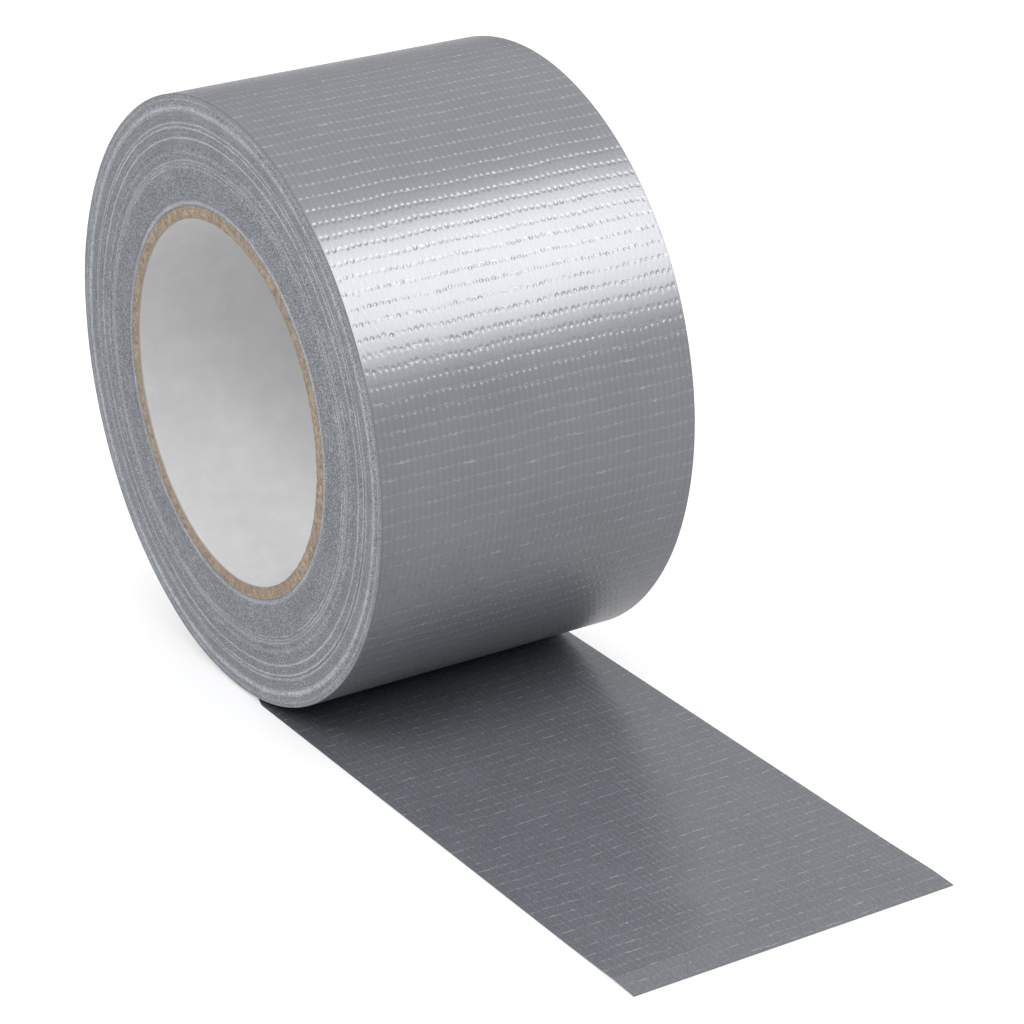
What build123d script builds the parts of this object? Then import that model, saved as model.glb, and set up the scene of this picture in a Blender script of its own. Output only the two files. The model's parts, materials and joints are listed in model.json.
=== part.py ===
from build123d import *
import os

# A roll of duct tape that stands on its rim, with a free strip pulled off its underside.
# Frame: origin at the middle of the core's bore, +Y along the bore, +Z up,
# +X the way the free strip runs. The strip's underside is the surface the object stands on.

# Driving dimensions, in millimetres
TAPE_WIDTH = 72.0
BORE_RADIUS = 38.1
LINER_THICKNESS = 0.3
CORE_RADIUS = 40.75
CORE_PLIES = 4
ROLL_RADIUS = 63.4
STRIP_REACH = 148.5

# One turn of tape, from its outer face inwards
FILM_THICKNESS = 0.06
SCRIM_THICKNESS = 0.08
ADHESIVE_THICKNESS = 0.06
TAPE_THICKNESS = FILM_THICKNESS + SCRIM_THICKNESS + ADHESIVE_THICKNESS

# The cloth inside the tape: warp yarns run along it, weft yarns across it
WARP_PITCH = 1.37
WARP_WIDTH = 0.5
WEFT_PITCH = 3.06
WEFT_WIDTH = 0.7
YARN_THICKNESS = SCRIM_THICKNESS / 2

# The wound turns, in bands that slipped a little sideways against each other:
# each band's outer radius, and how far it has moved along the bore
BAND_RADII = [42.2, 49.0, 50.2, 53.0, 54.8, 56.8, 60.0, 61.6, ROLL_RADIUS - TAPE_THICKNESS]
BAND_SHIFTS = [0.05, -0.1, 0.08, -0.06, 0.04, -0.02, 0.06, -0.08, 0.02]

# The free strip: where it starts behind the contact line, and where it bends
STRIP_START = -5.0
FIRST_BEND = 45.0
SECOND_BEND = 100.0
BEND_GAP = 0.2
ROLL_CLEARANCE = 0.2
STRIP_BOTTOM = -(ROLL_RADIUS + ROLL_CLEARANCE + TAPE_THICKNESS)


def save(part, name):
    """Label a finished piece and write it to its own STEP file."""
    part.label = name
    export_step(part, f"parts/{name}.step")


def make_ring(name, inner_radius, outer_radius, shift=0.0):
    """A tube around the bore's axis, as wide as the tape, moved along the bore by shift."""
    with BuildPart() as ring:
        with BuildSketch(Plane.XZ.offset(-shift)):
            Circle(outer_radius)
            Circle(inner_radius, mode=Mode.SUBTRACT)
        extrude(amount=TAPE_WIDTH / 2, both=True)
    save(ring.part, name)


def make_core():
    """The paper core: a white liner inside kraft plies of equal thickness."""
    ply_start = BORE_RADIUS + LINER_THICKNESS
    ply_thickness = (CORE_RADIUS - ply_start) / CORE_PLIES
    make_ring("core_liner", BORE_RADIUS, ply_start)
    for ply in range(CORE_PLIES):
        inner_radius = ply_start + ply * ply_thickness
        make_ring(f"core_ply_{ply + 1}", inner_radius, inner_radius + ply_thickness)


def make_wound_turns():
    """The turns under the outermost one, grouped into bands."""
    inner_radius = CORE_RADIUS
    for number, (outer_radius, shift) in enumerate(zip(BAND_RADII, BAND_SHIFTS), start=1):
        make_ring(f"wound_turns_{number}", inner_radius, outer_radius, shift)
        inner_radius = outer_radius


def make_outer_turn():
    """The outermost turn, in its three layers."""
    adhesive_start = ROLL_RADIUS - TAPE_THICKNESS
    scrim_start = adhesive_start + ADHESIVE_THICKNESS
    film_start = scrim_start + SCRIM_THICKNESS
    make_ring("outer_turn_adhesive", adhesive_start, scrim_start)
    make_ring("outer_turn_scrim", scrim_start, film_start)
    make_ring("outer_turn_film", film_start, ROLL_RADIUS)


def make_layer(name, start, end, bottom, thickness):
    """A flat layer of the strip from x = start to x = end, as wide as the tape."""
    with BuildPart() as layer:
        with BuildSketch(Plane.XY.offset(bottom)):
            with Locations(((start + end) / 2, 0)):
                Rectangle(end - start, TAPE_WIDTH)
        extrude(amount=thickness)
    save(layer.part, name)


def make_warp_yarns(name, start, end, bottom):
    """Yarns along the strip, side by side across its width."""
    count = int((TAPE_WIDTH - WARP_WIDTH) / WARP_PITCH) + 1
    with BuildPart() as yarns:
        with BuildSketch(Plane.XY.offset(bottom)):
            with Locations(((start + end) / 2, 0)):
                with GridLocations(0, WARP_PITCH, 1, count):
                    Rectangle(end - start, WARP_WIDTH)
        extrude(amount=YARN_THICKNESS)
    save(yarns.part, name)


def make_weft_yarns(name, start, end, bottom):
    """Yarns across the strip, one after another along its length."""
    count = int((end - start - WEFT_WIDTH) / WEFT_PITCH) + 1
    with BuildPart() as yarns:
        with BuildSketch(Plane.XY.offset(bottom)):
            with Locations(((start + end) / 2, 0)):
                with GridLocations(WEFT_PITCH, 0, count, 1):
                    Rectangle(WEFT_WIDTH, TAPE_WIDTH)
        extrude(amount=YARN_THICKNESS)
    save(yarns.part, name)


def make_strip(prefix, start, end):
    """One stretch of the free strip, film down and adhesive up."""
    weft_bottom = STRIP_BOTTOM + FILM_THICKNESS
    warp_bottom = weft_bottom + YARN_THICKNESS
    adhesive_bottom = warp_bottom + YARN_THICKNESS
    make_layer(f"{prefix}_film", start, end, STRIP_BOTTOM, FILM_THICKNESS)
    make_weft_yarns(f"{prefix}_weft_yarns", start, end, weft_bottom)
    make_warp_yarns(f"{prefix}_warp_yarns", start, end, warp_bottom)
    make_layer(f"{prefix}_adhesive", start, end, adhesive_bottom, ADHESIVE_THICKNESS)


os.makedirs("parts", exist_ok=True)
make_core()
make_wound_turns()
make_outer_turn()
make_strip("strip", STRIP_START, FIRST_BEND - BEND_GAP / 2)
make_strip("mid_strip", FIRST_BEND + BEND_GAP / 2, SECOND_BEND - BEND_GAP / 2)
make_strip("free_end", SECOND_BEND + BEND_GAP / 2, STRIP_REACH)
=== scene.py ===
"""The looks of the duct tape roll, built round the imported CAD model.

The roll stands on its rim with its axis along Y. Its free strip leaves the underside and lies flat along +X,
adhesive side up. Lengths are in millimetres and become metres as meshes are made. Only the camera and the
lights are placed in metres.
"""

import json
import math

import bpy
import numpy as np
from mathutils import Matrix, Vector


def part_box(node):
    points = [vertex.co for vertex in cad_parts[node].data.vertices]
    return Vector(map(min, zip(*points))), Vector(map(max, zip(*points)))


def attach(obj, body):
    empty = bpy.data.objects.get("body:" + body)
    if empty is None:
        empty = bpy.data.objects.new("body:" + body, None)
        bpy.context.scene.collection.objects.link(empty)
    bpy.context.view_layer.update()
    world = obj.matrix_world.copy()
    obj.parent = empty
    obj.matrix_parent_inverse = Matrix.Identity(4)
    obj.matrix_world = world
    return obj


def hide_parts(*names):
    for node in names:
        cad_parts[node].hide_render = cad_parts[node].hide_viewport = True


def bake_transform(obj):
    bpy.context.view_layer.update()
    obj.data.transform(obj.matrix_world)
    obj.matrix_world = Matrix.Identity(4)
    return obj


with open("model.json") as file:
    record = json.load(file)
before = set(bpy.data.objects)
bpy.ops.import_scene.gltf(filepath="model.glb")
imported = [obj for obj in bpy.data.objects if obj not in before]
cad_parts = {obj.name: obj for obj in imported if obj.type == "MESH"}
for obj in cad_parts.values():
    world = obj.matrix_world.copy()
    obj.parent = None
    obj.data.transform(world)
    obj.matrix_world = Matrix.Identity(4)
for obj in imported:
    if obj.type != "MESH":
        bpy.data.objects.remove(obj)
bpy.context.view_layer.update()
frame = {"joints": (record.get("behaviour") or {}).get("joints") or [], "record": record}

# ---------------------------------------------------------------- sizes, from the frame

MM = 0.001
TURN = 2 * math.pi


def reach(node, axis):
    """How far a CAD node reaches along an axis (0, 1 or 2), in millimetres."""
    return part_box(node)[1][axis] / MM


MOUNTS = {mount["name"]: mount for mount in frame["record"]["mounts"]}
JOINTS = {joint["name"]: joint for joint in frame["joints"]}

ROLL_RADIUS = reach("outer_turn_film", 0)
HALF_WIDTH = reach("outer_turn_film", 1)
BORE_RADIUS = MOUNTS["core_bore"]["dims"]["r_mm"]
LINER_RADIUS = reach("core_liner", 0)
PLIES = 4
CORE_RADIUS = reach(f"core_ply_{PLIES}", 0)
BANDS = 9
TURNS_RADIUS = reach(f"wound_turns_{BANDS}", 0)
STRIP_TOP = reach("strip_adhesive", 2)
STRIP_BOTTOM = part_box("strip_film")[0].z / MM
STRIP_REACH = reach("free_end_film", 0)
TAPE_THICKNESS = STRIP_TOP - STRIP_BOTTOM
FIRST_BEND = JOINTS["strip_lift"]["pos_m"][0] / MM
SECOND_BEND = JOINTS["end_lift"]["pos_m"][0] / MM

# The cloth's yarns press through the film: warp yarns run along the tape, weft yarns across it
WARP_PITCH_WANTED = 1.37
WEFT_PITCH_WANTED = 3.06

EDGE_RADIUS = 0.15
SKIN_WIDTH = 2 * (HALF_WIDTH - EDGE_RADIUS)
WARPS = round(SKIN_WIDTH / WARP_PITCH_WANTED)
WARP_PITCH = SKIN_WIDTH / WARPS
WEFTS = round(TURN * ROLL_RADIUS / WEFT_PITCH_WANTED)
WEFT_PITCH = TURN * ROLL_RADIUS / WEFTS

# Points of a surface to each yarn, and how much closer they lie over the yarn than beside it
WARP_SAMPLES = 8
WEFT_SAMPLES = 12
STRIP_WARP_SAMPLES = 6
STRIP_WEFT_SAMPLES = 8
WARP_CROWDING = 0.2
WEFT_CROWDING = 0.65

# The dimples where two yarns cross, of two kinds: half size across and along the tape, the share of it that
# slopes, the distance ahead of the weft yarn, and the least and most depth. Depths below 0 mean no dimple.
DIMPLES = [
    (0.50, 0.46, 0.50, 0.0, 0.45, 1.15),
    (0.26, 0.24, 0.80, -0.60, -0.6, 0.6),
]
DIMPLE_SCATTER_ACROSS = 0.07
DIMPLE_SCATTER_ALONG = 0.08
WEFT_RIDGE_WIDTH = 0.17
WARP_RIDGE_WIDTH = 0.18

# Relief of each surface: depth of the dimples, height of the weft ridges and height of the warp ridges
OUTER_FILM_RELIEF = (0.066, 0.0006, 0.003)
STRIP_ADHESIVE_RELIEF = (0.006, 0.024, 0.009)
STRIP_FILM_RELIEF = (0.036, 0.004, 0.006)


# ---------------------------------------------------------------- meshes


def quads_of_grid(rows, columns, closed=False):
    """Corner numbers of the quads of a grid of points, row by row.
    A closed grid joins its last row to its first."""
    index = np.arange(rows * columns).reshape(rows, columns)
    following = np.roll(index, -1, axis=0)
    if not closed:
        index, following = index[:-1], following[:-1]
    corners = (index[:, :-1], index[:, 1:], following[:, 1:], following[:, :-1])
    return np.stack(corners, axis=-1).reshape(-1, 4)


def grid_normals(points, closed):
    """Unit normals of a grid of points (rows, columns, 3), from the differences of its neighbours."""
    if closed:
        along = np.roll(points, -1, axis=0) - np.roll(points, 1, axis=0)
    else:
        along = np.gradient(points, axis=0)
    across = np.gradient(points, axis=1)
    normals = np.cross(across, along)
    return normals / np.maximum(np.linalg.norm(normals, axis=2, keepdims=True), 1e-12)


def make_piece(name, points, quads, polygons=(), normals=None, material=None, cloth=None):
    """A mesh object from points in millimetres, quads of corner numbers and any other polygons.
    normals, one per point, shade the quads; the polygons stay flat. cloth holds each point's yarn phases."""
    corners = [quads.ravel()] + [np.asarray(polygon) for polygon in polygons]
    sizes = np.concatenate([np.full(len(quads), 4), [len(polygon) for polygon in polygons]]).astype(int)
    loops = np.concatenate(corners).astype(np.int32)
    mesh = bpy.data.meshes.new(name)
    mesh.vertices.add(len(points))
    mesh.vertices.foreach_set("co", (points * MM).astype(np.float32).ravel())
    mesh.loops.add(len(loops))
    mesh.loops.foreach_set("vertex_index", loops)
    mesh.polygons.add(len(sizes))
    mesh.polygons.foreach_set("loop_start", np.concatenate([[0], np.cumsum(sizes)[:-1]]).astype(np.int32))
    smooth = np.zeros(len(sizes), bool)
    smooth[: len(quads)] = True
    mesh.polygons.foreach_set("use_smooth", smooth)
    mesh.update(calc_edges=True)
    if normals is not None:
        wanted = np.zeros((len(loops), 3))
        wanted[: quads.size] = normals[quads.ravel()]
        mesh.normals_split_custom_set(wanted)
    if cloth is not None:
        phases = np.column_stack([cloth, np.zeros(len(cloth))])
        mesh.attributes.new("cloth", "FLOAT_VECTOR", "POINT").data.foreach_set("vector", phases.ravel())
    if material is not None:
        mesh.materials.append(material)
    piece = bpy.data.objects.new(name, mesh)
    bpy.context.scene.collection.objects.link(piece)
    return piece


def crowded(count, samples, crowding):
    """Phases from 0 to count, with more of them near the middle of each unit, where the yarns lie."""
    steps = np.arange(count * samples + 1) / samples
    return steps + crowding * np.sin(TURN * steps) / TURN


def ripple(rng, position, period, harmonics, amplitude):
    """Smooth random waviness along a position that repeats after period."""
    total = np.zeros_like(position, dtype=float)
    for harmonic in harmonics:
        phase = rng.uniform(0, TURN)
        total += rng.normal() * np.sin(TURN * harmonic * position / period + phase)
    return amplitude * total / math.sqrt(len(harmonics))


# ---------------------------------------------------------------- the cloth's relief


def yarn_relief(rng, weft_phase, warp_phase, pit, weft_ridge, warp_ridge):
    """Height of the surface over the cloth, where phases count yarns and a yarn lies at each half.
    pit is the depth of the dimple at each crossing; the ridges are the heights of the yarns themselves."""
    weft_index = np.floor(weft_phase).astype(int) % WEFTS
    warp_index = np.clip(np.floor(warp_phase).astype(int), 0, WARPS - 1)
    from_weft = (weft_phase - np.floor(weft_phase) - 0.5) * WEFT_PITCH
    from_warp = (warp_phase - np.floor(warp_phase) - 0.5) * WARP_PITCH

    cells = (WEFTS, WARPS)
    height = np.zeros_like(weft_phase)
    for across, along, wall, place, least, most in DIMPLES:
        deep = np.clip(rng.uniform(least, most, cells), 0, None)
        lean = rng.normal(0, DIMPLE_SCATTER_ACROSS, cells)
        rise = rng.normal(place, DIMPLE_SCATTER_ALONG, cells)
        side = (from_warp - lean[weft_index, warp_index]) / across
        ahead = (from_weft - rise[weft_index, warp_index]) / along
        bank = np.clip((1 - np.sqrt(side**2 + ahead**2)) / wall, 0, 1)
        height -= pit * deep[weft_index, warp_index] * bank * bank * (3 - 2 * bank)

    strength = np.zeros_like(weft_phase)
    terms = 5
    rows = rng.normal(0, 1, (WEFTS, terms))
    starts = rng.uniform(0, TURN, (WEFTS, terms))
    for term in range(terms):
        waves = np.sin(warp_phase * (0.25 + 0.21 * term) + starts[weft_index, term])
        strength += rows[weft_index, term] * waves / 2.2
    pressed = np.clip(0.25 + 0.75 * strength, 0, 1.5)
    height += weft_ridge * pressed * np.exp(-((from_weft / WEFT_RIDGE_WIDTH) ** 2))

    height += warp_ridge * np.exp(-((from_warp / WARP_RIDGE_WIDTH) ** 2))
    return height


# ---------------------------------------------------------------- materials


class Shader:
    """A material's node tree, with short calls for the nodes used here."""

    def __init__(self, name):
        self.material = bpy.data.materials.new(name)
        self.material.use_nodes = True
        self.tree = self.material.node_tree
        self.surface = self.tree.nodes["Principled BSDF"]
        self.position = self.tree.nodes.new("ShaderNodeTexCoord").outputs["Object"]

    def link(self, source, target):
        self.tree.links.new(source, target)

    def node(self, kind, **inputs):
        made = self.tree.nodes.new(kind)
        for key, value in inputs.items():
            socket = made.inputs[key.replace("_", " ")]
            if isinstance(value, bpy.types.NodeSocket):
                self.link(value, socket)
            else:
                socket.default_value = value
        return made

    def math(self, operation, *values):
        made = self.tree.nodes.new("ShaderNodeMath")
        made.operation = operation
        for socket, value in zip(made.inputs, values):
            if isinstance(value, bpy.types.NodeSocket):
                self.link(value, socket)
            else:
                socket.default_value = value
        return made.outputs[0]

    def noise(self, scale, detail=2.0, roughness=0.5, vector=None):
        made = self.node("ShaderNodeTexNoise", Scale=scale, Detail=detail, Roughness=roughness)
        self.link(vector or self.position, made.inputs["Vector"])
        return made.outputs["Fac"]

    def ramp(self, factor, stops):
        made = self.node("ShaderNodeValToRGB", Fac=factor)
        elements = made.color_ramp.elements
        while len(elements) < len(stops):
            elements.new(1.0)
        for element, (place, colour) in zip(elements, stops):
            element.position = place
            element.color = (*colour, 1.0)
        return made.outputs["Color"]

    def mix(self, factor, first, second, blend="MIX"):
        made = self.tree.nodes.new("ShaderNodeMix")
        made.data_type = "RGBA"
        made.blend_type = blend
        for socket, value in zip((made.inputs[0], made.inputs[6], made.inputs[7]), (factor, first, second)):
            if isinstance(value, bpy.types.NodeSocket):
                self.link(value, socket)
            else:
                socket.default_value = value
        return made.outputs[2]

    def scaled(self, value, low, high, to_low=0.0, to_high=1.0, smooth=False):
        """A value carried from the range low to high to another range, and held there at its ends."""
        made = self.node("ShaderNodeMapRange", Value=value, From_Min=low, From_Max=high)
        made.inputs["To Min"].default_value = to_low
        made.inputs["To Max"].default_value = to_high
        if smooth:
            made.interpolation_type = "SMOOTHSTEP"
        return made.outputs["Result"]

    def stripe(self, distance, half_width):
        """1 where a signed distance is 0, falling smoothly to 0 at half_width on either side."""
        return self.scaled(self.math("ABSOLUTE", distance), 0.0, half_width, 1.0, 0.0, smooth=True)

    def cloth(self, dash_length, dash_start, wobble):
        """Thin lines where the cloth's yarns show, dashes along the weft yarns and lines along the warp
        yarns, and a painted highlight:
        a bright arc on the rim of each crossing's dimple, on its side ahead along the weft. dash_length is in
        warp yarns; dash_start is the noise level above which a dash begins; wobble is how far, in
        millimetres, a dash may leave its yarn."""
        phases = self.node("ShaderNodeAttribute")
        phases.attribute_name = "cloth"
        split = self.node("ShaderNodeSeparateXYZ", Vector=phases.outputs["Vector"])
        weft, warp = split.outputs["X"], split.outputs["Y"]
        row, column = self.math("FLOOR", weft), self.math("FLOOR", warp)
        from_weft = self.math("MULTIPLY", self.math("SUBTRACT", self.math("FRACT", weft), 0.5), WEFT_PITCH)
        from_warp = self.math("MULTIPLY", self.math("SUBTRACT", self.math("FRACT", warp), 0.5), WARP_PITCH)
        cell = self.node("ShaderNodeCombineXYZ", X=row, Y=column)
        chance = self.node("ShaderNodeTexWhiteNoise", Vector=cell.outputs[0]).outputs["Value"]

        lane = self.node("ShaderNodeCombineXYZ", X=self.math("MULTIPLY", row, 9.7), Y=warp)
        stray = self.math("SUBTRACT", self.noise(0.9, 3.0, 0.7, lane.outputs[0]), 0.5)
        from_row = self.math("MULTIPLY_ADD", stray, wobble, from_weft)
        stretched = self.math("DIVIDE", warp, dash_length)
        stretch = self.node("ShaderNodeCombineXYZ", X=self.math("MULTIPLY", row, 5.3), Y=stretched)
        dash = self.scaled(self.noise(1.0, 2.0, vector=stretch.outputs[0]), dash_start, dash_start + 0.12)
        showing = self.math("MULTIPLY_ADD", dash, 0.85, 0.15)
        broken = self.math("MULTIPLY_ADD", chance, 0.7, 0.45)
        dashes = self.math("MULTIPLY", self.math("MULTIPLY", showing, broken), self.stripe(from_row, 0.2))

        # Painted highlight: a bright arc round each crossing, kept to the rim ahead along the weft, which
        # faces upward on the roll
        out = self.math("DIVIDE", from_row, 0.36)
        wide = self.math("DIVIDE", from_warp, 0.42)
        squares = self.math("ADD", self.math("MULTIPLY", out, out), self.math("MULTIPLY", wide, wide))
        ring = self.stripe(self.math("SUBTRACT", self.math("SQRT", squares), 1.0), 0.4)
        upper = self.node("ShaderNodeClamp", Value=self.math("MULTIPLY_ADD", out, 1.6, 0.1)).outputs["Result"]
        uneven = self.math("MULTIPLY_ADD", chance, 0.7, 0.3)
        rim_highlights = self.math("MULTIPLY", self.math("MULTIPLY", ring, upper), uneven)

        track = self.node("ShaderNodeCombineXYZ", X=weft, Y=self.math("MULTIPLY", column, 7.7))
        sway = self.math("SUBTRACT", self.noise(0.8, vector=track.outputs[0]), 0.5)
        line = self.stripe(self.math("SUBTRACT", from_warp, self.math("MULTIPLY", sway, 0.2)), 0.14)
        strength = self.math("MULTIPLY_ADD", self.noise(2.3, 2.0, vector=track.outputs[0]), 2.4, -0.45)
        return dashes, rim_highlights, self.math("MULTIPLY", line, self.math("MAXIMUM", strength, 0.0))

    def bump(self, height, distance, strength=1.0):
        made = self.node("ShaderNodeBump", Height=height, Distance=distance, Strength=strength)
        self.link(made.outputs["Normal"], self.surface.inputs["Normal"])

    def radius_and_angle(self):
        """Distance from the bore's axis in millimetres, and the cosine and sine of the angle around it."""
        split = self.node("ShaderNodeSeparateXYZ", Vector=self.position)
        x, z = split.outputs["X"], split.outputs["Z"]
        radius = self.math("SQRT", self.math("ADD", self.math("MULTIPLY", x, x), self.math("MULTIPLY", z, z)))
        cosine, sine = self.math("DIVIDE", x, radius), self.math("DIVIDE", z, radius)
        return self.math("MULTIPLY", radius, 1 / MM), cosine, sine


def film_material():
    """Silver-grey polyethylene film: satin, with the cloth's yarns showing as thin paler lines, and a painted
    highlight on the upper rim of each crossing's dimple.
    """
    shader = Shader("backing_film")
    surface = shader.surface
    dashes, rim_highlights, lines = shader.cloth(2.6, 0.56, 0.3)
    blotches = shader.noise(60.0, 3.0)
    colour = shader.ramp(blotches, [(0.3, (0.107, 0.110, 0.121)), (0.7, (0.118, 0.121, 0.134))])
    pale = shader.math("MULTIPLY_ADD", lines, 0.11, shader.math("MULTIPLY", dashes, 0.42))
    # Painted highlight: bright arcs on the upper rims of the crossings' dimples
    pale = shader.math("MULTIPLY_ADD", rim_highlights, 0.36, pale)
    shader.link(shader.mix(pale, colour, (0.40, 0.41, 0.44, 1)), surface.inputs["Base Color"])
    surface.inputs["Metallic"].default_value = 0.15
    surface.inputs["Specular IOR Level"].default_value = 0.6
    surface.inputs["Roughness"].default_value = 0.33
    grain = shader.noise(2300.0, 3.0, 0.6)
    yarns = shader.math("MULTIPLY_ADD", lines, 0.25, shader.math("MULTIPLY", dashes, 0.2))
    shader.bump(shader.math("ADD", grain, yarns), 0.00002, 0.8)
    return shader.material


def adhesive_material():
    """Grey adhesive over the cloth: smooth and glossy, with the cloth's yarns and grain showing through, and
    a faint painted highlight on one rim of each crossing's dimple.
    """
    shader = Shader("adhesive")
    surface = shader.surface
    dashes, rim_highlights, lines = shader.cloth(1.8, 0.47, 0.4)
    blotches = shader.noise(90.0, 3.0)
    colour = shader.ramp(blotches, [(0.3, (0.061, 0.066, 0.074)), (0.7, (0.069, 0.074, 0.083))])
    grain = shader.noise(3000.0, 3.0, 0.65)
    pale = shader.math("MULTIPLY_ADD", lines, 0.17, shader.math("MULTIPLY", dashes, 0.52))
    pale = shader.math("ADD", pale, shader.math("MULTIPLY", shader.math("SUBTRACT", grain, 0.5), 1.0))
    # Faint painted highlight on one rim of each crossing's dimple
    pale = shader.math("MULTIPLY_ADD", rim_highlights, 0.12, pale)
    pale = shader.node("ShaderNodeClamp", Value=pale).outputs["Result"]
    shader.link(shader.mix(pale, colour, (0.26, 0.27, 0.30, 1)), surface.inputs["Base Color"])
    surface.inputs["Specular IOR Level"].default_value = 1.0
    surface.inputs["Roughness"].default_value = 0.2
    yarns = shader.math("MULTIPLY_ADD", lines, 0.6, dashes)
    shader.bump(shader.math("ADD", grain, yarns), 0.00003, 0.8)
    return shader.material


# Pale rings on the roll's side: radius, half width and strength, where turns slipped and their edges show
PALE_RINGS = [
    (41.3, 0.7, 0.80),
    (48.5, 0.20, 0.70),
    (49.2, 0.20, 0.85),
    (49.9, 0.35, 0.70),
    (51.6, 0.50, 0.35),
    (54.5, 0.32, 1.10),
    (56.6, 0.25, 1.05),
    (57.5, 0.30, 0.80),
    (60.4, 0.85, 0.85),
    (62.2, 0.40, 0.35),
]


def turn_edge_material():
    """The cut edges of the turns: grey adhesive and film with pale rings, streaks and cloth fibres."""
    shader = Shader("turn_edges")
    surface = shader.surface
    radius, cosine, sine = shader.radius_and_angle()

    def around(turns, per_mm, detail=2.0):
        """Noise stretched along the turns: how many features to a radian, and to a millimetre of radius."""
        place = shader.node(
            "ShaderNodeCombineXYZ",
            X=shader.math("MULTIPLY", cosine, turns),
            Y=shader.math("MULTIPLY", sine, turns),
            Z=shader.math("MULTIPLY", radius, per_mm),
        )
        return shader.noise(1.0, detail, vector=place.outputs[0])

    wander = shader.math("MULTIPLY", shader.math("SUBTRACT", around(1.6, 0.0), 0.5), 0.9)
    wiggle = shader.math("MULTIPLY", shader.math("SUBTRACT", around(45.0, 0.6), 0.5), 0.55)
    wandering = shader.math("ADD", shader.math("ADD", radius, wander), wiggle)
    span = TURNS_RADIUS - CORE_RADIUS
    share = shader.math("DIVIDE", shader.math("SUBTRACT", wandering, CORE_RADIUS), span)
    stops = [(0.0, (0.0,) * 3)]
    for middle, half, strength in PALE_RINGS:
        for place, level in ((middle - half, 0.0), (middle, strength), (middle + half, 0.0)):
            stops.append(((place - CORE_RADIUS) / span, (level,) * 3))
    rings = shader.ramp(share, stops)
    worn = shader.math("MULTIPLY_ADD", around(3.0, 0.5), 1.2, 0.15)
    ragged = shader.math("MULTIPLY_ADD", around(110.0, 2.0), 1.7, -0.1)
    rings = shader.math("MULTIPLY", rings, shader.math("MULTIPLY", worn, ragged))
    threads = shader.scaled(around(22.0, 4.0, 3.0), 0.56, 0.72)
    outside = shader.scaled(radius, 58.5, 62.5)
    frayed = shader.math("MULTIPLY", outside, shader.math("MULTIPLY", around(60.0, 1.6, 4.0), 0.12))
    speckle = shader.noise(4200.0, 3.0, 0.65)
    patches = shader.noise(160.0, 3.0)
    fibres = shader.math("MULTIPLY", shader.math("GREATER_THAN", shader.noise(2600.0, 1.0), 0.68), 0.3)
    pale = shader.math("ADD", rings, shader.math("MULTIPLY", threads, 0.2))
    pale = shader.math("ADD", pale, frayed)
    pale = shader.math("ADD", pale, shader.math("MULTIPLY", shader.math("SUBTRACT", speckle, 0.5), 3.2))
    pale = shader.math("ADD", pale, shader.math("MULTIPLY", shader.math("SUBTRACT", patches, 0.5), 0.3))
    pale = shader.math("ADD", shader.math("ADD", pale, fibres), 0.27)
    greys = [(0.0, (0.09, 0.096, 0.103)), (0.35, (0.176, 0.187, 0.208)), (1.0, (0.40, 0.42, 0.445))]
    shader.link(shader.ramp(pale, greys), surface.inputs["Base Color"])
    surface.inputs["Roughness"].default_value = 0.7
    shader.bump(shader.math("ADD", speckle, ragged), 0.00015, 0.8)
    return shader.material


def kraft_material():
    """Brown kraft board, seen on its cut edge: ply lines, flecks and fibres."""
    shader = Shader("kraft_core")
    surface = shader.surface
    radius, _, _ = shader.radius_and_angle()
    wavering = shader.math("ADD", radius, shader.math("MULTIPLY", shader.noise(60.0, 2.0), 0.4))
    ply = (CORE_RADIUS - LINER_RADIUS) / PLIES
    phase = shader.math("FRACT", shader.math("DIVIDE", shader.math("SUBTRACT", wavering, LINER_RADIUS), ply))
    lines = shader.ramp(phase, [(0.0, (0.0,) * 3), (0.12, (1.0,) * 3), (0.88, (1.0,) * 3), (1.0, (0.0,) * 3)])
    grain = shader.noise(900.0, 4.0, 0.7)
    flecks = shader.noise(2600.0, 2.0, 0.6)
    browns = [(0.3, (0.175, 0.127, 0.083)), (0.5, (0.275, 0.215, 0.156)), (0.7, (0.39, 0.32, 0.245))]
    lined = shader.mix(0.35, shader.ramp(grain, browns), lines, "MULTIPLY")
    dark_flecks = shader.ramp(flecks, [(0.34, (0.35,) * 3), (0.46, (1.0,) * 3)])
    specked = shader.mix(0.45, lined, dark_flecks, "MULTIPLY")
    shader.link(specked, surface.inputs["Base Color"])
    surface.inputs["Roughness"].default_value = 0.9
    shader.bump(shader.math("ADD", grain, flecks), 0.0002, 0.8)
    return shader.material


def liner_material():
    """The core's white paper lining: matt, faintly cloudy, with a fine tooth, brown at its cut edges."""
    shader = Shader("core_liner")
    surface = shader.surface
    cloudy = shader.noise(180.0, 4.0, 0.6)
    colour = shader.ramp(cloudy, [(0.3, (0.53, 0.53, 0.54)), (0.7, (0.58, 0.58, 0.58))])
    split = shader.node("ShaderNodeSeparateXYZ", Vector=shader.position)
    to_edge = shader.math("SUBTRACT", shader.math("ABSOLUTE", split.outputs["Y"]), HALF_WIDTH * MM)
    edge = shader.stripe(to_edge, 0.0006)
    shader.link(shader.mix(edge, colour, (0.24, 0.20, 0.155, 1)), surface.inputs["Base Color"])
    surface.inputs["Roughness"].default_value = 0.6
    shader.bump(shader.noise(1100.0, 3.0, 0.6), 0.00012, 0.6)
    return shader.material


# ---------------------------------------------------------------- the outermost turn

SECTORS = 8
EDGE_STEPS = 5


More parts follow.
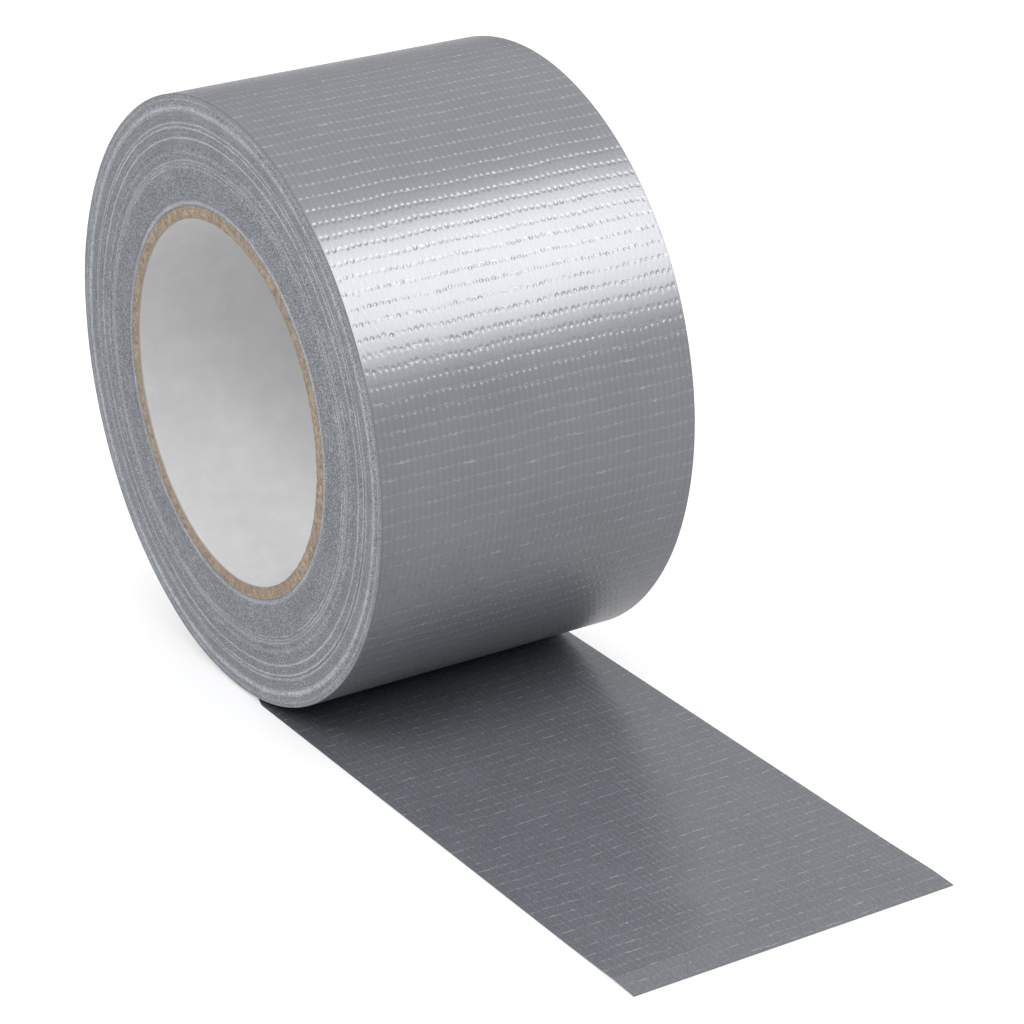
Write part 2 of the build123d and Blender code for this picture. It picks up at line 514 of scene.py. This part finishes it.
def skin_section(columns):
    """Places across the skin: y, depth below the outer radius, warp phase, and how much relief there is.
    columns are warp phases; the rounded edges add a quarter circle on each side."""
    steps = np.radians(np.linspace(90, 0, EDGE_STEPS + 1))[:-1]
    side_y = (HALF_WIDTH - EDGE_RADIUS) + EDGE_RADIUS * np.sin(steps)
    side_depth = EDGE_RADIUS * (1 - np.cos(steps))
    flat_y = columns * WARP_PITCH - SKIN_WIDTH / 2
    places = np.concatenate([-side_y, flat_y, side_y[::-1]])
    depth = np.concatenate([side_depth, np.zeros_like(flat_y), side_depth[::-1]])
    phases = np.concatenate([np.zeros(EDGE_STEPS), columns, np.full(EDGE_STEPS, float(WARPS))])
    rising = (0.0, 0.4, 0.8)
    flat = np.ones(len(flat_y) - 2 * len(rising))
    rounded = np.zeros(EDGE_STEPS)
    relief = np.concatenate([rounded, rising, flat, rising[::-1], rounded])
    return places, depth, phases, relief


def make_outer_skin(material):
    """The film of the outermost turn, in sectors whose shading runs on from one to the next."""
    rng = np.random.default_rng(11)
    rows = crowded(WEFTS, WEFT_SAMPLES, WEFT_CROWDING)[:-1]
    columns = crowded(WARPS, WARP_SAMPLES, WARP_CROWDING)
    places, depth, phases, relief = skin_section(columns)
    weft_phase, warp_phase = np.meshgrid(rows, phases, indexing="ij")
    y = np.broadcast_to(places, weft_phase.shape)

    # The weft yarns don't run straight across: they sway forward and back along the tape
    wave = 0.16 * np.sin(TURN * y / 41 + 0.05 * weft_phase) * np.sin(TURN * 3 * weft_phase / WEFTS + 1.0)
    wave += 0.10 * np.sin(TURN * y / 19 + TURN * 7 * weft_phase / WEFTS)
    wave += ripple(rng, weft_phase, WEFTS, (11, 17, 23, 31), 0.12)
    angle = TURN * weft_phase / WEFTS + wave / ROLL_RADIUS

    # Besides the cloth's relief the film has a faint waviness of its own, and its rims wander sideways
    height = yarn_relief(rng, weft_phase, warp_phase, *OUTER_FILM_RELIEF) * relief
    height += relief * 0.012 * np.sin(TURN * 5 * weft_phase / WEFTS + y / 9)
    radius = ROLL_RADIUS - depth + height
    edge = ripple(rng, rows, WEFTS, (3, 5, 8, 13), 0.04)[:, None] * np.sign(y) * (1 - relief)
    points = np.stack([radius * np.cos(angle), y + edge, radius * np.sin(angle)], axis=-1)
    normals = grid_normals(points, closed=True)

    total, wide = weft_phase.shape
    phases = np.stack([weft_phase, warp_phase], axis=-1)
    for sector in range(SECTORS):
        first, last = total * sector // SECTORS, total * (sector + 1) // SECTORS
        chosen = np.arange(first, last + 1) % total
        part = points[chosen].reshape(-1, 3)
        shade = normals[chosen].reshape(-1, 3)
        count = len(chosen)
        quads = quads_of_grid(count, wide)
        start = np.arange(count - 1) * wide
        inner = np.stack([start + wide - 1, start, start + wide, start + 2 * wide - 1], axis=-1)
        ends = [np.arange(wide)[::-1], np.arange(wide) + (count - 1) * wide]
        piece = make_piece(
            f"outer_turn_{sector + 1}",
            part,
            quads,
            [*inner, *ends],
            shade,
            material,
            phases[chosen].reshape(-1, 2),
        )
        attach(piece, "roll")
        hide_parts("outer_turn_film", "outer_turn_scrim", "outer_turn_adhesive")


# ---------------------------------------------------------------- the side of the roll

STEPS_OUTWARDS = 440
STEPS_AROUND = 400

# Sideways slip of the turns: how many turns a wave of it takes, and its height
SLIPS = [(1.3, 0.018), (2.9, 0.02), (0.37, 0.014), (7.1, 0.02), (0.11, 0.008)]


def band_shift(radius, side):
    """Where the face of each band of turns lies along Y, from the CAD bands, with softened steps."""
    faces = []
    for number in range(1, BANDS + 1):
        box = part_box(f"wound_turns_{number}")
        faces.append((box[1].x / MM, (box[0].y if side < 0 else box[1].y) / MM))
    place = np.full_like(radius, faces[0][1])
    for (edge, before), (_, after) in zip(faces, faces[1:]):
        place += (after - before) / (1 + np.exp(-(radius - edge) / 0.12))
    return place


def make_turn_edges(side, name, material):
    """Half of the wound turns, from the middle of the roll to one side, with each turn's edge.
    An inner and an outer piece meet halfway, and their shading runs on from one to the next."""
    rng = np.random.default_rng(23 if side < 0 else 29)
    outside = ROLL_RADIUS - EDGE_RADIUS
    radii = np.linspace(CORE_RADIUS, outside, STEPS_OUTWARDS)
    angles = np.linspace(0, TURN, STEPS_AROUND + 1)[:-1]
    angle, radius = np.meshgrid(angles, radii, indexing="ij")
    wound = (radius - CORE_RADIUS) / TAPE_THICKNESS - angle / TURN
    turn = np.floor(wound)
    along = turn + angle / TURN
    within = wound - turn

    slip = np.zeros_like(radius)
    for period, amount in SLIPS:
        slip += amount * np.sin(TURN * along / period + rng.uniform(0, TURN))
    loose = rng.normal(0, 0.02, 400)
    slip += loose[turn.astype(int) % len(loose)] * 0.6
    crest = -0.02 * np.cos(TURN * within)
    rough = rng.normal(0, 0.006, radius.shape)
    fade = np.clip((outside - radius) / 0.3, 0, 1)
    place = band_shift(radius, side) * fade + side * (HALF_WIDTH * (1 - fade) + fade * (slip + crest + rough))
    points = np.stack([radius * np.cos(angle), place, radius * np.sin(angle)], axis=-1)

    normals = grid_normals(points, closed=True)
    if side > 0:
        normals = -normals
    middle = len(radii) // 2
    for half, chosen in (("inner", slice(0, middle + 1)), ("outer", slice(middle, None))):
        part = points[:, chosen]
        rims = part[:, [0, -1]] * (1, 0, 1)
        shell = np.concatenate([part, rims[:, 1:], rims[:, :1]], axis=1)
        rows, columns = shell.shape[:2]
        face = quads_of_grid(rows, columns, closed=True).reshape(rows, columns - 1, 4)
        start = np.arange(rows) * columns
        following = np.roll(start, -1)
        inside = np.stack([start + columns - 1, start, following, following + columns - 1], axis=-1)
        front = face[:, : columns - 3].reshape(-1, 4)
        back = np.concatenate([face[:, columns - 3 :].reshape(-1, 4), inside])
        if side > 0:
            front, back = front[:, ::-1], back[:, ::-1]
        shade = np.zeros(shell.shape)
        shade[:, : part.shape[1]] = normals[:, chosen]
        corners, shade = shell.reshape(-1, 3), shade.reshape(-1, 3)
        piece = make_piece(f"{name}_{half}", corners, front, list(back), shade, material)
        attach(piece, "roll")
        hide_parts(*[f"wound_turns_{number}" for number in range(1, BANDS + 1)])


# ---------------------------------------------------------------- the core

CORE_STEPS = 480
CORE_STEPS_ALONG = 24
CUT_SPACING = 0.12
CUT_FEWEST = 4

# Near each cut end: how far in the last rings of points lie, and how much the bore's rim is worn
NEAR_CUT = 0.25
NEXT_TO_CUT = 1
BORE_RIM_WEAR = 0.8


def make_core_ring(name, inner, outer, material, roughness, seed, nodes):
    """A paper ring as wide as the tape, with cut ends that are a little rough."""
    rng = np.random.default_rng(seed)
    angles = np.linspace(0, TURN, CORE_STEPS + 1)[:-1]
    cuts = np.linspace(inner, outer, max(CUT_FEWEST, round((outer - inner) / CUT_SPACING)))
    straight = np.linspace(NEXT_TO_CUT - HALF_WIDTH, HALF_WIDTH - NEXT_TO_CUT, CORE_STEPS_ALONG)
    lengths = np.concatenate([[NEAR_CUT - HALF_WIDTH], straight, [HALF_WIDTH - NEAR_CUT]])
    radii = np.concatenate([cuts, np.full_like(lengths, outer), cuts[::-1], np.full_like(lengths, inner)])
    places = np.concatenate(
        [np.full_like(cuts, -HALF_WIDTH), lengths, np.full_like(cuts, HALF_WIDTH), lengths[::-1]]
    )
    radius = np.broadcast_to(radii, (len(angles), len(radii))).copy()
    place = np.broadcast_to(places, radius.shape).copy()
    end = np.abs(place) > HALF_WIDTH - 1e-6
    ragged = rng.normal(0, roughness, radius.shape)
    ragged += np.roll(ragged, 1, axis=0) + np.roll(ragged, -1, axis=0)
    place -= np.sign(place) * np.abs(ragged) * end
    at_bore = np.abs(radius - inner) < 1e-6
    radius += np.abs(ragged) * BORE_RIM_WEAR * (end & at_bore)
    angle = np.broadcast_to(angles[:, None], radius.shape)
    points = np.stack([radius * np.cos(angle), place, radius * np.sin(angle)], axis=-1)
    rows, columns = radius.shape
    # A grid one column wider, whose last column is the first again, closes the section
    quads = quads_of_grid(rows, columns + 1, closed=True)
    ring = quads // (columns + 1) * columns + quads % (columns + 1) % columns
    piece = make_piece(name, points.reshape(-1, 3), ring, material=material)
    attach(piece, "roll")
    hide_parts(*nodes)
    return piece


# ---------------------------------------------------------------- the free strip

STRIP_WRAP = 4.0
STRIP_CUTS = (33.0, 75.0, 118.0)

# Waves of the weft yarns: how far they sway, and their lengths across the strip and along it
STRIP_WAVES = [(0.16, 37, 21), (0.12, 15, -9), (0.07, 5.3, 2.3)]

# The cut end rises to a crease, and falls from there
CREASE = 142.0
CREASE_HEIGHT = 0.25
CREASE_RISE = 17.0

# In the roll's shadow the strip is a little narrower than the roll
TUCK = 1.1
TUCK_END = 11.0
TUCK_LENGTH = 5.0


def strip_surface(rng, rows, columns, upper):
    """Points of one face of the strip as a grid, from the part that hugs the roll to the cut end."""
    weft_phase, warp_phase = np.meshgrid(rows, columns, indexing="ij")
    y = warp_phase * (2 * HALF_WIDTH / WARPS) - HALF_WIDTH
    x = weft_phase * WEFT_PITCH - STRIP_WRAP
    sideways = np.clip((HALF_WIDTH - np.abs(y)) / 0.6, 0, 1)
    ends = np.clip(x / 3, 0, 1) * np.clip((STRIP_REACH - x) / 0.6, 0, 1)
    wave = sum(sway * np.sin(TURN * y / across + x / along) for sway, across, along in STRIP_WAVES)
    x = x + wave * ends
    x = np.minimum(x, STRIP_REACH)
    if upper:
        height = yarn_relief(rng, weft_phase, warp_phase, *STRIP_ADHESIVE_RELIEF)
    else:
        height = -yarn_relief(rng, weft_phase, warp_phase, *STRIP_FILM_RELIEF)
    height = height * ends * sideways
    rising = np.clip((x - CREASE + CREASE_RISE) / CREASE_RISE, 0, 1) ** 1.5
    falling = np.clip((STRIP_REACH - x) / (STRIP_REACH - CREASE), 0, 1)
    curl = CREASE_HEIGHT * np.where(x < CREASE, rising, falling)
    face = (STRIP_TOP if upper else STRIP_BOTTOM) + height + curl

    # Behind the contact line the strip thins out and follows the roll
    hug = np.sqrt(np.maximum((ROLL_RADIUS + 0.03) ** 2 - np.minimum(x, 0) ** 2, 0))
    thin = TAPE_THICKNESS * np.clip((x + STRIP_WRAP) / STRIP_WRAP, 0.1, 1)
    wrapped = -hug - (0 if upper else 1) * thin
    blend = np.clip(-x / STRIP_WRAP, 0, 1)
    blend = blend * blend * (3 - 2 * blend)
    z = np.where(x < 0, face * (1 - blend) + wrapped * blend, face)

    tucked = np.clip((TUCK_END - x) / TUCK_LENGTH, 0, 1)
    y = y * (1 - TUCK / HALF_WIDTH * tucked * tucked * (3 - 2 * tucked))
    return np.stack([x, y, z], axis=-1)


def make_strip(adhesive, film):
    """The free strip in four pieces, end to end. The two at the ends go to the bodies of their parts, and the
    two between them each span one hinge and are left loose."""
    length = STRIP_REACH + STRIP_WRAP
    rows = crowded(math.ceil(length / WEFT_PITCH), STRIP_WEFT_SAMPLES, WEFT_CROWDING)
    rows = rows[rows * WEFT_PITCH < length - 0.05]
    rows = np.append(rows, length / WEFT_PITCH)
    columns = crowded(WARPS, STRIP_WARP_SAMPLES, WARP_CROWDING)
    top = strip_surface(np.random.default_rng(41), rows, columns, True)
    low = strip_surface(np.random.default_rng(43), rows, columns, False)
    top_normals = -grid_normals(top, closed=False)
    low_normals = grid_normals(low, closed=False)
    wide = len(columns)
    phases = np.stack(np.meshgrid(rows, columns, indexing="ij"), axis=-1)
    cuts = [0, *np.searchsorted(rows * WEFT_PITCH - STRIP_WRAP, STRIP_CUTS), len(rows) - 1]
    stretches = (
        ("strip_at_roll", "strip", None, None, ("strip",)),
        ("strip_first_bend", "strip", "mid_strip", FIRST_BEND, ("strip", "mid_strip")),
        ("strip_second_bend", "mid_strip", "free_end", SECOND_BEND, ("mid_strip", "free_end")),
        ("strip_cut_end", "free_end", None, None, ("free_end",)),
    )
    for (name, body, next_body, bend, prefixes), first, last in zip(stretches, cuts, cuts[1:]):
        chosen = slice(first, last + 1)
        count = last + 1 - first
        points = np.concatenate([top[chosen].reshape(-1, 3), low[chosen].reshape(-1, 3)])
        shade = np.concatenate([top_normals[chosen].reshape(-1, 3), low_normals[chosen].reshape(-1, 3)])
        cloth = np.tile(phases[chosen].reshape(-1, 2), (2, 1))
        upper = quads_of_grid(count, wide)[:, ::-1]
        lower = quads_of_grid(count, wide) + count * wide
        start = np.arange(count - 1) * wide
        below = start + count * wide
        left = np.stack([start, start + wide, below + wide, below], axis=-1)
        edge, edge_below = start + wide - 1, below + wide - 1
        right = np.stack([edge, edge_below, edge_below + wide, edge + wide], axis=-1)
        row = np.arange(wide - 1)
        tail = (count - 1) * wide
        under = count * wide
        front = np.stack([row, row + under, row + under + 1, row + 1], axis=-1)
        end = np.stack([row + tail, row + tail + 1, row + tail + under + 1, row + tail + under], axis=-1)
        flats = np.concatenate([left, right, front, end])[:, ::-1]
        piece = make_piece(name, points, np.concatenate([upper, lower]), list(flats), shade, adhesive, cloth)
        piece.data.materials.append(film)
        slots = np.zeros(len(piece.data.polygons), np.int32)
        slots[len(upper) : len(upper) + len(lower)] = 1
        piece.data.polygons.foreach_set("material_index", slots)
        if next_body:
            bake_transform(piece)
        else:
            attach(piece, body)
        for prefix in prefixes:
            layers = ("film", "weft_yarns", "warp_yarns", "adhesive")
            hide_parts(*[f"{prefix}_{layer}" for layer in layers])


# ---------------------------------------------------------------- camera, floor and light

CAMERA_AZIMUTH = 58.17
CAMERA_ELEVATION = 23.61
CAMERA_ROLL = -0.862
CAMERA_DISTANCE = 0.744
CAMERA_TARGET = Vector((0.0243, 0.0172, -0.0280))
LENS = 126.07

FLOOR_REACH = 40000.0
FLOOR_GAP = 0.1

SKY_AT_EYE_LEVEL = 0.32
SKY_OVERHEAD = 0.98

# The softboxes: direction from the roll, direction of the long side, distance and size in metres, and power
KEY = (Vector((0.571, 0.46, 0.680)), Vector((-0.766, 0, 0.643)), 1.2, (0.40, 0.90), 19)
FILL = (Vector((0.24, -0.62, 0.74)), Vector((1, 0, 0)), 1.6, (1.1, 1.1), 20)
FLOOR_WASH = 1.6


def direction(azimuth, elevation):
    """Unit vector towards a place seen at that azimuth (0 in front, 90 at +X) and elevation."""
    a, e = math.radians(azimuth), math.radians(elevation)
    return Vector((math.sin(a) * math.cos(e), -math.cos(a) * math.cos(e), math.sin(e)))


def make_camera():
    data = bpy.data.cameras.new("camera")
    data.lens = LENS
    data.sensor_width = 36.0
    data.clip_start = 0.01
    camera = bpy.data.objects.new("camera", data)
    bpy.context.scene.collection.objects.link(camera)
    back = direction(CAMERA_AZIMUTH, CAMERA_ELEVATION)
    camera.location = CAMERA_TARGET + back * CAMERA_DISTANCE
    facing = (-back).to_track_quat("-Z", "Y").to_matrix()
    facing = facing @ Matrix.Rotation(math.radians(CAMERA_ROLL), 3, "Z")
    camera.rotation_euler = facing.to_euler()
    bpy.context.scene.camera = camera


def make_floor():
    shader = Shader("floor")
    shader.surface.inputs["Base Color"].default_value = (0.94, 0.94, 0.94, 1)
    shader.surface.inputs["Roughness"].default_value = 0.9
    shader.surface.inputs["Specular IOR Level"].default_value = 0.1
    level = STRIP_BOTTOM - FLOOR_GAP
    signs = ((-1, -1), (1, -1), (1, 1), (-1, 1))
    corners = np.array([(x * FLOOR_REACH, y * FLOOR_REACH, level) for x, y in signs])
    floor = make_piece("floor", corners, np.array([[0, 1, 2, 3]]), material=shader.material)
    return floor


def make_softbox(name, towards, long_side, distance, size, power):
    """A rectangular light that faces the roll from a direction, with its long side along another."""
    data = bpy.data.lights.new(name, "AREA")
    data.shape = "RECTANGLE"
    data.size, data.size_y = size
    data.energy = power
    light = bpy.data.objects.new(name, data)
    bpy.context.scene.collection.objects.link(light)
    away = towards.normalized()
    upright = (long_side - away * long_side.dot(away)).normalized()
    facing = Matrix((upright.cross(away), upright, away)).transposed()
    light.matrix_world = Matrix.Translation(away * distance) @ facing.to_4x4()
    return light


def light_only(light, objects, link_state):
    """Let a light reach only some objects (INCLUDE), or all but those (EXCLUDE). Returns their collection."""
    chosen = bpy.data.collections.new(f"{light.name}_{link_state.lower()}")
    for number, piece in enumerate(objects):
        chosen.objects.link(piece)
        chosen.collection_objects[number].light_linking.link_state = link_state
    light.light_linking.receiver_collection = chosen
    return chosen


def make_light(floor, lining):
    """A pale room, brighter overhead than at eye level, with one long softbox behind the roll's right side
    and a broad fill in front. Neither lights the floor, which has its own even wash without shadows, and the
    long one leaves out the core's lining."""
    world = bpy.data.worlds.new("studio")
    bpy.context.scene.world = world
    world.use_nodes = True
    tree = world.node_tree
    sky = tree.nodes["Background"]
    place = tree.nodes.new("ShaderNodeTexCoord")
    split = tree.nodes.new("ShaderNodeSeparateXYZ")
    ramp = tree.nodes.new("ShaderNodeValToRGB")
    tree.links.new(place.outputs["Generated"], split.inputs[0])
    tree.links.new(split.outputs["Z"], ramp.inputs["Fac"])
    tree.links.new(ramp.outputs["Color"], sky.inputs["Color"])
    for element, level in zip(ramp.color_ramp.elements, (SKY_AT_EYE_LEVEL, SKY_OVERHEAD)):
        element.color = (level, level, level * 1.01, 1)
    sky.inputs["Strength"].default_value = 1.0
    light_only(make_softbox("softbox", *KEY), (floor, lining), "EXCLUDE")
    light_only(make_softbox("fill", *FILL), (floor,), "EXCLUDE")
    data = bpy.data.lights.new("floor_wash", "SUN")
    data.energy = FLOOR_WASH
    wash = bpy.data.objects.new("floor_wash", data)
    bpy.context.scene.collection.objects.link(wash)
    wash.light_linking.blocker_collection = light_only(wash, (floor,), "INCLUDE")
    bpy.context.scene.view_settings.view_transform = "Standard"


# ---------------------------------------------------------------- the whole object

film = film_material()
adhesive = adhesive_material()
turn_edges = turn_edge_material()
plies = [f"core_ply_{number}" for number in range(1, PLIES + 1)]
make_outer_skin(film)
make_turn_edges(-1, "turns_near_side", turn_edges)
make_turn_edges(1, "turns_far_side", turn_edges)
kraft, paper = kraft_material(), liner_material()
make_core_ring("core_board", LINER_RADIUS, CORE_RADIUS, kraft, 0.03, 5, plies)
liner = ["core_liner"]
lining = make_core_ring("core_lining", BORE_RADIUS, LINER_RADIUS, paper, 0.04, 7, liner)
make_strip(adhesive, film)
make_camera()
make_light(make_floor(), lining)
